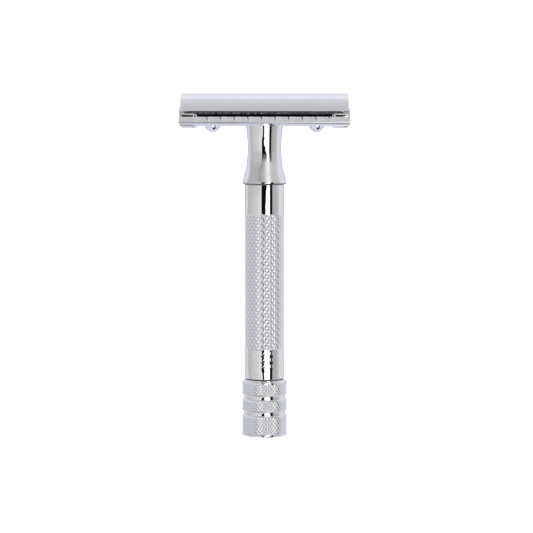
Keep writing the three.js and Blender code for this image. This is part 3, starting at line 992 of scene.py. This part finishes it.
class Nodes:
    """Short ways to add and join shader nodes in one tree."""

    def __init__(self, tree):
        self.tree = tree
        tree.nodes.clear()

    def add(self, kind, **settings):
        node = self.tree.nodes.new(kind)
        for name, value in settings.items():
            setattr(node, name, value)
        return node

    def link(self, source, target):
        self.tree.links.new(source, target)

    def feed(self, sockets, values):
        """Joins each socket to its node output, or sets it to its constant."""
        for socket, value in zip(sockets, values):
            if isinstance(value, bpy.types.NodeSocket):
                self.link(value, socket)
            else:
                socket.default_value = value

    def fill(self, node, inputs):
        """Feeds a node's inputs by name."""
        self.feed([node.inputs[name] for name in inputs], inputs.values())

    def math(self, operation, *values, clamp=False):
        node = self.add("ShaderNodeMath", operation=operation, use_clamp=clamp)
        self.feed(node.inputs, values)
        return node.outputs[0]

    def blend(self, share, first, second):
        """A colour, `share` of the way from the first to the second."""
        node = self.add("ShaderNodeMix", data_type="RGBA")
        self.feed([node.inputs[k] for k in (0, 6, 7)], (share, first, second))
        return node.outputs[2]

    def blend_numbers(self, share, first, second):
        node = self.add("ShaderNodeMix")
        self.feed([node.inputs[k] for k in (0, 2, 3)], (share, first, second))
        return node.outputs[0]

    def rest(self, share):
        return self.math("SUBTRACT", 1.0, share)

    def step(self, value, start, end):
        """0 below start, 1 above end, smooth between."""
        node = self.add("ShaderNodeMapRange", interpolation_type="SMOOTHSTEP")
        self.feed(node.inputs, (value, start, end))
        return node.outputs[0]

    def between(self, value, rise, fall):
        """1 between the two slopes, 0 outside them."""
        return self.math("MULTIPLY", self.step(value, *rise), self.rest(self.step(value, *fall)))

    def ramp(self, value, stops, low, high):
        """Colours at places between low and high."""
        spread = self.add("ShaderNodeMapRange")
        self.feed(spread.inputs, (value, low, high))
        node = self.add("ShaderNodeValToRGB")
        elements = node.color_ramp.elements
        for k, (at, colour) in enumerate(stops):
            share = (at - low) / (high - low)
            element = elements[k] if k < 2 else elements.new(share)
            element.position = share
            element.color = colour
        self.link(spread.outputs[0], node.inputs[0])
        return node.outputs[0]

    def noise(self, where, scale, detail, roughness=0.55):
        node = self.add("ShaderNodeTexNoise")
        inputs = {"Vector": where, "Scale": scale, "Detail": detail, "Roughness": roughness}
        self.fill(node, inputs)
        return node.outputs["Fac"]

    def stretch(self, where, scale, rotation=(0, 0, 0)):
        node = self.add("ShaderNodeMapping")
        self.fill(node, {"Vector": where, "Scale": scale, "Rotation": rotation})
        return node.outputs["Vector"]


def linear(value):
    """The light behind a screen value of 0 to 255."""
    value /= 255
    return value / 12.92 if value <= 0.04045 else ((value + 0.055) / 1.055) ** 2.4


CHROME_TINT = (0.94, 0.945, 0.955)


def seen(red, green=None, blue=None, gain=1.0):
    """The world colour that chrome shows as these screen values."""
    green = red if green is None else green
    blue = red if blue is None else blue
    return tuple(
        gain * linear(v) / tint for v, tint in zip((red, green, blue), CHROME_TINT)
    ) + (1.0,)


# ------ materials


def new_material(name):
    """A material, its nodes and the place on the piece that they go by."""
    material = bpy.data.materials.new(name)
    material.use_nodes = True
    n = Nodes(material.node_tree)
    return material, n, n.add("ShaderNodeTexCoord").outputs["Object"]


def shade(n, colour, roughness, height, bump_depth, metallic=1.0, ior=1.5):
    """The shader that a piece's colour, roughness and height nodes feed."""
    bump = n.add("ShaderNodeBump")
    n.fill(bump, {"Distance": bump_depth * MM, "Height": height})
    shader = n.add("ShaderNodeBsdfPrincipled")
    n.fill(shader, {"Base Color": colour, "Roughness": roughness, "Normal": bump.outputs["Normal"]})
    n.fill(shader, {"Metallic": metallic, "IOR": ior})
    out = n.add("ShaderNodeOutputMaterial")
    n.link(shader.outputs[0], out.inputs["Surface"])


def dimmed(tint, share):
    return tuple(t * share for t in tint) + (1.0,)


def metal(name, tint, rough, rough_spread, bump_depth, grain, scratches):
    """A metal whose roughness and bump come from layered noise, with painted shade: its colour is
    darkened in crevices as much as the mesh's stored value says.
    """
    material, n, where = new_material(name)
    cloud = n.noise(where, 260, 4)
    fine = n.noise(n.stretch(where, grain), 900, 3)
    mottle = n.ramp(cloud, [(0.25, dimmed(tint, 0.97)), (0.75, dimmed(tint, 1))], 0, 1)
    lines = n.noise(n.stretch(where, (2600, 160, 160), (0.4, 0.7, 0.3)), 1, 2)
    scratch = n.step(lines, 0.66, 0.74)
    rough_low = n.math("MULTIPLY_ADD", cloud, rough_spread, rough - rough_spread / 2)
    rough_all = n.math("MULTIPLY_ADD", scratch, scratches, rough_low, clamp=True)
    height = n.math("MULTIPLY_ADD", fine, 0.6, n.math("MULTIPLY", cloud, 0.4))
    # Painted shade: the colour goes towards a fifth of the tint as the stored crevice value rises.
    crevice_shade = n.add("ShaderNodeAttribute", attribute_name="crevice_shade").outputs["Fac"]
    colour = n.blend(crevice_shade, mottle, dimmed(tint, 0.2))
    shade(n, colour, rough_all, height, bump_depth)
    return material


def blade_material():
    """Rolled strip, with a dark mottled band along each ground edge."""
    material, n, where = new_material("blade_steel_ground")
    split = n.add("ShaderNodeSeparateXYZ")
    n.link(where, split.inputs[0])
    across = n.math("ABSOLUTE", split.outputs["Y"])
    band = n.step(across, 9.72 * MM, 9.78 * MM)
    stripes = n.noise(n.stretch(where, (2400, 300, 300)), 1, 3)
    mottle = n.noise(where, 2200, 4, 0.7)
    flat = n.blend(stripes, (0.42, 0.44, 0.47, 1), (0.58, 0.6, 0.63, 1))
    ground = n.blend(n.step(mottle, 0.42, 0.68), (0.012, 0.015, 0.02, 1), (0.3, 0.31, 0.34, 1))
    colour = n.blend(band, flat, ground)
    roughness = n.math("MULTIPLY_ADD", mottle, 0.25, 0.2)
    shade(n, colour, roughness, n.math("ADD", stripes, mottle), 0.01)
    return material


def polymer_material():
    material, n, where = new_material("washer_polymer_sheet")
    grain = n.noise(where, 3000, 4, 0.7)
    colour = n.blend(grain, (0.03, 0.03, 0.033, 1), (0.07, 0.07, 0.075, 1))
    roughness = n.math("MULTIPLY_ADD", grain, 0.3, 0.45)
    shade(n, colour, roughness, grain, 0.01, metallic=0.0, ior=1.46)
    return material


STEEL = (0.72, 0.73, 0.75)
ZINC = (0.6, 0.61, 0.63)
SPINDLE_BRASS = (0.8, 0.62, 0.31)
BUSH_BRASS = (0.74, 0.56, 0.28)
EVEN = (1, 1, 1)
ROLLED = (1, 1, 3)
TURNED = (1, 1, 9)

MATERIALS = {
    "chrome_plate": metal("chrome_plate_bright", CHROME_TINT, 0.05, 0.03, 0.0012, EVEN, 0.05),
    "stud_steel": metal("stud_steel_turned", STEEL, 0.22, 0.12, 0.004, TURNED, 0.1),
    "fastener_steel": metal("fastener_steel_zinc", ZINC, 0.3, 0.16, 0.004, ROLLED, 0.1),
    "spindle_brass": metal("spindle_brass_turned", SPINDLE_BRASS, 0.24, 0.12, 0.004, TURNED, 0.1),
    "bush_brass": metal("bush_brass_turned", BUSH_BRASS, 0.3, 0.12, 0.004, TURNED, 0.1),
    "blade_steel": blade_material(),
    "washer_polymer": polymer_material(),
}

# ------ pieces on their bodies


def place(piece, body, node, slot):
    """Puts a piece on its body in place of its CAD node."""
    piece.data.materials.clear()
    piece.data.materials.append(MATERIALS[slot])
    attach(piece, body)
    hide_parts(node)


place(make_tube(), "handle", "handle_tube", "chrome_plate")
place(make_neck(), "handle", "neck_collar", "chrome_plate")
place(make_plate(), "handle", "base_plate", "chrome_plate")
place(make_cup("pin_cup_left_pressed", -PIN_X), "handle", "pin_cup_left", "chrome_plate")
place(make_cup("pin_cup_right_pressed", PIN_X), "handle", "pin_cup_right", "chrome_plate")
place(make_bush("upper_bush_turned", UPPER_BUSH), "handle", "upper_bush", "bush_brass")
place(make_bush("lower_bush_turned", LOWER_BUSH), "handle", "lower_bush", "bush_brass")

place(make_knob(), "knob_drive", "knob", "chrome_plate")
place(make_end_plug(), "knob_drive", "knob_end_plug", "chrome_plate")
place(make_knob_screw(), "knob_drive", "knob_screw", "fastener_steel")
place(make_spindle(), "knob_drive", "drive_spindle", "spindle_brass")
place(make_washer("friction_washer_cut", FRICTION), "knob_drive", "friction_washer", "washer_polymer")
place(make_washer("thrust_washer_pressed", THRUST), "knob_drive", "thrust_washer", "fastener_steel")
place(make_wave_washer(), "knob_drive", "wave_spring_washer", "fastener_steel")
place(make_clip(), "knob_drive", "spindle_retaining_ring", "fastener_steel")

place(make_cap(), "cap", "top_cap", "chrome_plate")
place(make_stud(), "cap", "cap_stud", "stud_steel")
place(make_pin("locating_pin_left_turned", -PIN_X), "cap", "locating_pin_left", "stud_steel")
place(make_pin("locating_pin_right_turned", PIN_X), "cap", "locating_pin_right", "stud_steel")

place(make_blade(), "blade", "razor_blade", "blade_steel")

# ------ studio

LAVENDER = seen(207, 209, 224)
BLACK = (0.003, 0.003, 0.005, 1)
WHITE = seen(255, gain=1.5)


def greys(*stops):
    """Ramp stops from pairs of a place and a screen value."""
    return [(at, seen(value)) for at, value in stops]


def pulled_bearing(n, bearing, height, ragged):
    """The bearing, pulled about so that the band's edges bend and fray as in the picture."""
    wander = n.math("MULTIPLY_ADD", ragged, 14.0, -7.0)
    dip = n.math("MULTIPLY", n.rest(n.step(height, -3.6, -2.4)), -8.0)
    lift = n.math("MULTIPLY", n.step(height, 0, 10), 7.0)
    moved = n.math("ADD", wander, n.math("ADD", dip, lift))
    in_middle = n.between(bearing, (-10, -3), (14, 24))
    pulled = n.math("SUBTRACT", bearing, n.math("MULTIPLY", moved, in_middle))
    sunk = n.math("MAXIMUM", n.math("SUBTRACT", -6.5, height), 0.0)
    at_left = n.rest(n.step(bearing, -14, -4))
    return n.math("SUBTRACT", pulled, n.math("MULTIPLY", n.math("MULTIPLY", sunk, 1.2), at_left))


def band_colours(n, bearing):
    """The band at eye level: white and black panels in front, soft greys on the other sides."""
    rim = seen(172, 175, 194)
    stops = [(-180, LAVENDER), (-146, rim), (-140, LAVENDER), (-112, LAVENDER)]
    stops += greys((-108, 168), (-102, 184), (-73, 196), (-46, 206), (-26, 222), (-18.5, 234))
    stops += [(-17, BLACK), (6.5, BLACK), (8, WHITE), (30, WHITE), (31.5, BLACK), (46, BLACK)]
    stops += greys((47.5, 166), (64, 170), (88, 188))
    stops += [(94, seen(214, 215, 222)), (138, seen(216, 217, 226)), (150, rim), (180, LAVENDER)]
    return n.ramp(bearing, stops, -180, 180)


def upper_back_colours(n, height):
    stops = [(0, LAVENDER), (40, seen(226, 228, 241)), (54, seen(228, 230, 242))]
    stops += [(57, seen(210, 213, 217)), (90, seen(193, 194, 197))]
    return n.ramp(height, stops, 0, 90)


def upper_front_colours(n, bearing, height):
    """Greys above the band, whose left part is skewed, under an even grey ceiling."""
    lean = n.math("MULTIPLY", n.math("SUBTRACT", height, 24.0), 0.9)
    skew = n.math("MULTIPLY", lean, n.rest(n.step(bearing, -14, 4)))
    stops = greys((-100, 160), (-84, 178), (-46, 174), (-30, 168), (-25, 142), (-20, 168))
    stops += greys((-4, 174), (9, 216), (20, 240), (30, 236), (40, 194), (62, 190), (84, 198))
    stops.append((96, seen(213, 214, 222)))
    low = n.ramp(n.math("ADD", bearing, skew), stops, -120, 120)
    return n.blend(n.step(height, 26, 44), low, seen(192, 193, 196))


def floor_colours(n, bearing, height):
    """The pale floor with its panels, each with soft edges across and up."""
    stops = [(-90, seen(214, 216, 230)), (-40, seen(208, 211, 228)), (-12, seen(205, 208, 226))]
    floor = n.ramp(height, stops, -90, 0)
    tall = ((-62, -52), (-16, -12))
    panels = [
        (((-12, -8), (4, 8)), tall, seen(60)),
        (((31, 35), (50, 55)), tall, seen(16)),
        (((-6, 0), (18, 26)), ((-46, -40), (-26, -20)), WHITE),
        (((6, 14), (64, 76)), ((-79, -75), (-50, -44)), BLACK),
    ]
    for across, up, colour in panels:
        panel = n.math("MULTIPLY", n.between(bearing, *across), n.between(height, *up))
        floor = n.blend(panel, floor, colour)
    return floor


def studio_world():
    """A white studio as chrome sees it, told by direction alone.

    The bearing is 0 towards the camera and grows to the picture's right. Both it and the
    height above the horizon are in degrees.
    """
    world = bpy.data.worlds.new("studio")
    bpy.context.scene.world = world
    world.use_nodes = True
    n = Nodes(world.node_tree)
    way = n.add("ShaderNodeTexCoord").outputs["Generated"]
    split = n.add("ShaderNodeSeparateXYZ")
    n.link(way, split.inputs[0])
    x, y, z = split.outputs
    bearing = n.math("MULTIPLY", n.math("ARCTAN2", x, n.math("MULTIPLY", y, -1.0)), 180 / math.pi)
    height = n.math("MULTIPLY", n.math("ARCSINE", n.math("MULTIPLY", z, 0.99999)), 180 / math.pi)
    ragged = n.noise(n.stretch(way, (3, 3, 16)), 1.6, 4, 0.6)

    band = band_colours(n, pulled_bearing(n, bearing, height, ragged))
    ahead = n.rest(n.step(n.math("ABSOLUTE", bearing), 84, 112))
    back = upper_back_colours(n, height)
    upper = n.blend(ahead, back, upper_front_colours(n, bearing, height))
    rising = n.math("SUBTRACT", height, n.math("MULTIPLY_ADD", ragged, 4.0, 5.5))
    striped = n.between(bearing, (-24, -19), (48, 54))
    lifting = n.blend_numbers(striped, n.step(height, -2, 17), n.step(rising, 0.0, 4.5))
    whole = n.blend(lifting, band, upper)
    under = n.step(n.math("MULTIPLY", height, -1.0), 15.0, 19.0)
    whole = n.blend(under, whole, floor_colours(n, bearing, height))
    glow = n.add("ShaderNodeBackground")
    n.link(whole, glow.inputs["Color"])
    out = n.add("ShaderNodeOutputWorld")
    n.link(glow.outputs[0], out.inputs["Surface"])


def paper_material():
    """Plain white paper that is bright enough to stay white beside the chrome."""
    material, n, where = new_material("studio_paper")
    grain = n.noise(where, 400, 3)
    colour = n.blend(grain, (0.93, 0.93, 0.93, 1), (0.96, 0.96, 0.96, 1))
    shader = n.add("ShaderNodeBsdfPrincipled")
    n.fill(shader, {"Base Color": colour, "Roughness": 0.9})
    n.fill(shader, {"Emission Color": (1, 1, 1, 1), "Emission Strength": 0.55})
    out = n.add("ShaderNodeOutputMaterial")
    n.link(shader.outputs[0], out.inputs["Surface"])
    return material


def studio_stage():
    """A round sweep of white paper: the floor curves up into a backdrop on every side."""
    reach, bend_radius, rise = 900, 350, 1400
    line = [(reach * share, 0.0) for share in (0, 0.5, 1)]
    line += arc((reach, bend_radius), bend_radius, -90, 0, 24)[1:]
    line.append((reach + bend_radius, rise))
    mesh = mesh_from("studio_sweep", *skin(round_rows(line), 96, False))
    mesh.shade_smooth()
    mesh.materials.append(paper_material())
    sweep = linked("studio_sweep", mesh)
    sweep.visible_glossy = False


def studio_camera():
    """A long lens in front of the neck, tilted down a little."""
    tilt_down = 3.68
    data = bpy.data.cameras.new("camera")
    data.lens = 133.0
    data.sensor_width = 36.0
    data.clip_start = 0.01
    data.clip_end = 10
    camera = linked("camera", data)
    camera.location = (0.0005, -0.49, 0.0738)
    camera.rotation_euler = (math.radians(90 - tilt_down), 0, 0)
    bpy.context.scene.camera = camera


def studio_light():
    """A large soft light overhead, which the chrome does not mirror."""
    data = bpy.data.lights.new("overhead", "AREA")
    data.energy = 6
    data.size = 0.8
    light = linked("overhead", data)
    light.location = (0, -0.1, 0.9)
    light.visible_glossy = False


studio_world()
studio_stage()
studio_camera()
studio_light()

bpy.context.scene.view_settings.view_transform = "Standard"
